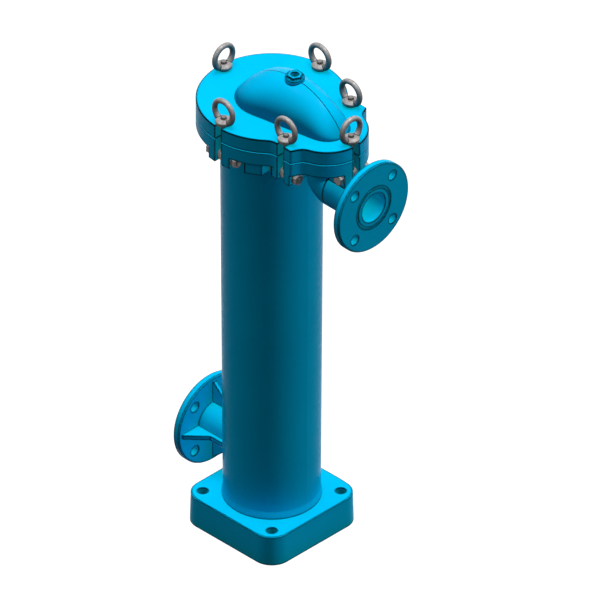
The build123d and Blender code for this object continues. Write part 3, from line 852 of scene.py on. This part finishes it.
class FILTER_OT_welds(bpy.types.Operator):
    """Lay the weld beads where the necks meet their flanges and the vessel"""
    bl_idname = "filter.welds"
    bl_label = "Weld beads"

    def bead(self, path, radius):
        """Tube along a closed path whose radius swells by 6 percent at each puddle."""
        t = np.linspace(0, 2 * pi, len(path), endpoint=False)
        return swept(path, radius * (1 + 0.06 * np.sin(WELD_PUDDLES * t)), 10)

    def ring(self, x, radius, z):
        """Circle about a pipe's axis, in the plane at x."""
        t = np.linspace(0, 2 * pi, WELD_STEPS, endpoint=False)
        return np.stack((x + 0 * t, radius * np.cos(t), z + radius * np.sin(t)), axis=-1)

    def saddle(self, radius, z):
        """Where a pipe along X meets the tapered vessel: x is minus the root of R(z)^2 - y^2."""
        t = np.linspace(0, 2 * pi, WELD_STEPS, endpoint=False)
        y = radius * np.cos(t)
        height = z + radius * np.sin(t)
        low, high = size("vessel_shell")
        top_radius = (high[0] - low[0]) / 2
        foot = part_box("base_foot")[1].z
        slope = (top_radius - VESSEL_FOOT_RADIUS) / (high[2] - foot)
        vessel = VESSEL_FOOT_RADIUS + slope * (height - foot)
        return np.stack((-np.sqrt(vessel ** 2 - y ** 2), y, height), axis=-1)

    def execute(self, context):
        bead = context.scene.filter_bolts.bead
        plastic = frame["nodes"]["inlet_flange"].data.materials[0]
        beads = []
        for end, face in (("inlet", 1), ("outlet", -1)):
            low, high = size(f"{end}_flange")
            z = (low[2] + high[2]) / 2
            narrow, wide = size(f"{end}_neck")
            radius = (wide[1] - narrow[1]) / 2
            front, back = (high[0], low[0]) if face > 0 else (low[0], high[0])
            raised = self.ring(front - face * WELD_SETBACK, radius + WELD_OUT * bead, z)
            beads.append(self.bead(raised, bead))
            beads.append(self.bead(self.ring(back, radius, z), WELD_BACK * bead))
        beads.append(self.bead(self.saddle(radius, z), bead))
        piece("weld_beads", joined(*beads), HOUSING, plastic, 60)
        return {"FINISHED"}


class FILTER_OT_bag(bpy.types.Operator):
    """Make the felt bag that hangs in the basket, with its side seam"""
    bl_idname = "filter.bag"
    bl_label = "Filter bag"

    def sleeve(self, low, high, bag):
        """Cup: down the side at radius R, then a bend to the centre, where the radius is R times
        the cosine to the power 0.7 and the drop is the corner times the sine. Nine folds move the
        side inwards by a depth times the square of the sine of 4.5 times the angle. They deepen
        down the bag and wander with height."""
        radius = (high[0] - low[0]) / 2 - bag.felt / 2
        t = np.concatenate((np.linspace(0, 1, 90), 1 + np.linspace(0, 1, 40)[1:]))[:, None]
        a = np.linspace(0, 2 * pi, 216, endpoint=False)[None, :]
        side = np.clip(t, 0, 1)
        bend = np.clip(t - 1, 0, 1) * pi / 2
        bottom = low[2] + bag.felt
        z = high[2] - side * (high[2] - bottom - bag.corner) - bag.corner * np.sin(bend)
        r = radius * np.cos(bend) ** 0.7 + 0 * a
        grow = np.sin(pi * np.clip(side, 0, 0.96) / 0.96 / 2) * np.cos(bend)
        wander = 0.5 * np.sin(6 * side + 2 * np.sin(2 * a))
        r = r - bag.fold * grow * np.sin(4.5 * a + wander) ** 2
        points = np.stack((r * np.cos(a), r * np.sin(a), z + 0 * a), axis=-1)
        return grid(points, False, True)

    def seam(self, low, high, bag):
        """Stitches as short closed loops in a row, each a tube of a few faces."""
        radius = (high[0] - low[0]) / 2 - bag.felt - bag.fold - SEAM_INSET
        heights = np.linspace(low[2] + SEAM_ENDS[0], high[2] - SEAM_ENDS[1], bag.stitches)
        reach = STITCH_SHARE * (heights[1] - heights[0])
        u = np.linspace(0, 2 * pi, 8, endpoint=False)
        rows = []
        for angle in SEAM_ROWS:
            for z in heights:
                out = radius + STITCH_DEPTH * np.sin(u)
                loop = np.stack((out * cos(angle), out * sin(angle), z + reach * np.cos(u)), axis=-1)
                rows.append(swept(loop, bag.thread, 5))
        return joined(*rows)

    def execute(self, context):
        bag = context.scene.filter_bag
        low, high = size("filter_bag")
        sleeve = self.sleeve(low, high, bag)
        body = piece("felt_bag", sleeve, HOUSING, needled_felt(bag), 60)
        wall = body.modifiers.new("Felt", "SOLIDIFY")
        wall.thickness = bag.felt
        wall.offset = 0.0
        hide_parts("filter_bag")
        seam = piece("bag_seam", self.seam(low, high, bag), HOUSING, sewing_thread(bag), 60)
        return {"FINISHED"}


# Stage

class FILTER_OT_stage(bpy.types.Operator):
    """Set the camera, the lamps, the world and the pale floor"""
    bl_idname = "filter.stage"
    bl_label = "Stage"

    def camera(self, context, stage):
        """Parallel view: the line of sight passes the axis at a height and a little aside."""
        data = bpy.data.cameras.new("view")
        data.type = "ORTHO"
        data.ortho_scale = stage.width
        data.clip_end = CAMERA_REACH
        camera = bpy.data.objects.new("view", data)
        context.scene.collection.objects.link(camera)
        away = Vector((sin(stage.azimuth) * cos(stage.elevation),
                       -cos(stage.azimuth) * cos(stage.elevation), sin(stage.elevation)))
        right = Vector((cos(stage.azimuth), sin(stage.azimuth), 0))
        target = right * stage.aside + Vector((0, 0, stage.height))
        camera.location = target + away * CAMERA_DISTANCE
        camera.rotation_euler = (-away).to_track_quat("-Z", "Y").to_euler()
        context.scene.camera = camera

    def lamp(self, context, name, azimuth, elevation, strength, softness, shadow):
        """Sun that shines from an azimuth, counted from +X towards +Y, and an elevation."""
        data = bpy.data.lights.new(name, "SUN")
        data.energy = strength * pi
        data.angle = radians(softness)
        data.use_shadow = shadow
        lamp = bpy.data.objects.new(name, data)
        context.scene.collection.objects.link(lamp)
        a, e = radians(azimuth), radians(elevation)
        toward = Vector((cos(a) * cos(e), sin(a) * cos(e), sin(e)))
        lamp.rotation_euler = toward.to_track_quat("Z", "Y").to_euler()

    def world(self, context, ambient):
        """Even ambient light, white to the eye and through clear things, a little dimmer to gloss
        and dim to everything else."""
        world = bpy.data.worlds.new("studio")
        context.scene.world = world
        world.use_nodes = True
        nodes, links = world.node_tree.nodes, world.node_tree.links
        rays = nodes.new("ShaderNodeLightPath")
        seen = nodes.new("ShaderNodeMath")
        seen.operation = "ADD"
        seen.use_clamp = True
        links.new(rays.outputs["Is Camera Ray"], seen.inputs[0])
        links.new(rays.outputs["Is Transmission Ray"], seen.inputs[1])
        level = nodes.new("ShaderNodeMapRange")
        level.inputs["To Min"].default_value = ambient
        level.inputs["To Max"].default_value = 1.0
        glossy = nodes.new("ShaderNodeMath")
        glossy.operation = "MULTIPLY_ADD"
        glossy.inputs[1].default_value = GLOSS_LIGHT
        glossy.use_clamp = True
        links.new(rays.outputs["Is Glossy Ray"], glossy.inputs[0])
        links.new(seen.outputs[0], glossy.inputs[2])
        links.new(glossy.outputs[0], level.inputs["Value"])
        links.new(level.outputs["Result"], nodes["Background"].inputs["Strength"])
        nodes["Background"].inputs["Color"].default_value = (1, 1, 1, 1)

    def floor(self, context, stage):
        """Wide pale floor: bright to the eye and to gloss, and dim as a source of light."""
        mesh = bpy.data.meshes.new("floor")
        corners = [(FLOOR_REACH * x, FLOOR_REACH * y, 0)
                   for x, y in ((-1, -1), (1, -1), (1, 1), (-1, 1))]
        mesh.from_pydata(corners, [], [(0, 1, 2, 3)])
        floor = bpy.data.objects.new("floor", mesh)
        context.scene.collection.objects.link(floor)
        finish = Finish("pale_floor")
        nodes = finish.tree.nodes
        nodes.remove(finish.shader)
        rays = finish.node("ShaderNodeLightPath")
        dim = finish.node("ShaderNodeBsdfDiffuse")
        dim.inputs["Color"].default_value = (stage.floor_bounce,) * 3 + (1,)
        lit = finish.node("ShaderNodeBsdfDiffuse")
        speck = finish.remap(finish.noise(3, 3), 0.30, 0.34)
        finish.link(speck, lit.inputs["Color"])
        glow = finish.node("ShaderNodeEmission")
        glow.inputs["Strength"].default_value = stage.floor_glow
        pale = finish.node("ShaderNodeAddShader")
        finish.link(lit.outputs[0], pale.inputs[0])
        finish.link(glow.outputs[0], pale.inputs[1])
        seen = finish.math("MAXIMUM", rays.outputs["Is Camera Ray"], rays.outputs["Is Glossy Ray"])
        either = finish.node("ShaderNodeMixShader")
        finish.link(seen, either.inputs[0])
        finish.link(dim.outputs[0], either.inputs[1])
        finish.link(pale.outputs[0], either.inputs[2])
        finish.link(either.outputs[0], nodes["Material Output"].inputs["Surface"])
        mesh.materials.append(finish.material)

    def execute(self, context):
        stage = context.scene.filter_stage
        context.scene.view_settings.view_transform = "Standard"
        self.camera(context, stage)
        for name, lamp in LAMPS.items():
            self.lamp(context, name, *lamp)
        self.world(context, stage.ambient)
        self.floor(context, stage)
        return {"FINISHED"}


class FILTER_PT_panel(bpy.types.Panel):
    """Buttons for each group of pieces"""
    bl_label = "Bag filter housing"
    bl_idname = "FILTER_PT_panel"
    bl_space_type = "VIEW_3D"
    bl_region_type = "UI"
    bl_category = "Filter"

    def draw(self, context):
        for group in GROUPS:
            settings = getattr(context.scene, group)
            for name in settings.__annotations__:
                self.layout.prop(settings, name)
        for operator in OPERATORS:
            self.layout.operator(operator.bl_idname)


GROUPS = {"filter_plastic": FilterPlastic, "filter_metal": FilterMetal,
          "filter_bolts": FilterBolts, "filter_bag": FilterBag, "filter_stage": FilterStage}
OPERATORS = (FILTER_OT_housing, FILTER_OT_inner_parts, FILTER_OT_swing_bolts,
             FILTER_OT_eye_nuts, FILTER_OT_pivots, FILTER_OT_welds, FILTER_OT_bag,
             FILTER_OT_stage)


def register():
    for name, group in GROUPS.items():
        bpy.utils.register_class(group)
        setattr(bpy.types.Scene, name, PointerProperty(type=group))
    for operator in OPERATORS:
        bpy.utils.register_class(operator)
    bpy.utils.register_class(FILTER_PT_panel)


def unregister():
    bpy.utils.unregister_class(FILTER_PT_panel)
    for operator in reversed(OPERATORS):
        bpy.utils.unregister_class(operator)
    for name, group in GROUPS.items():
        delattr(bpy.types.Scene, name)
        bpy.utils.unregister_class(group)


def main():
    register()
    bpy.ops.filter.housing()
    bpy.ops.filter.inner_parts()
    bpy.ops.filter.swing_bolts()
    bpy.ops.filter.eye_nuts()
    bpy.ops.filter.pivots()
    bpy.ops.filter.welds()
    bpy.ops.filter.bag()
    bpy.ops.filter.stage()


if __name__ == "__main__":
    main()
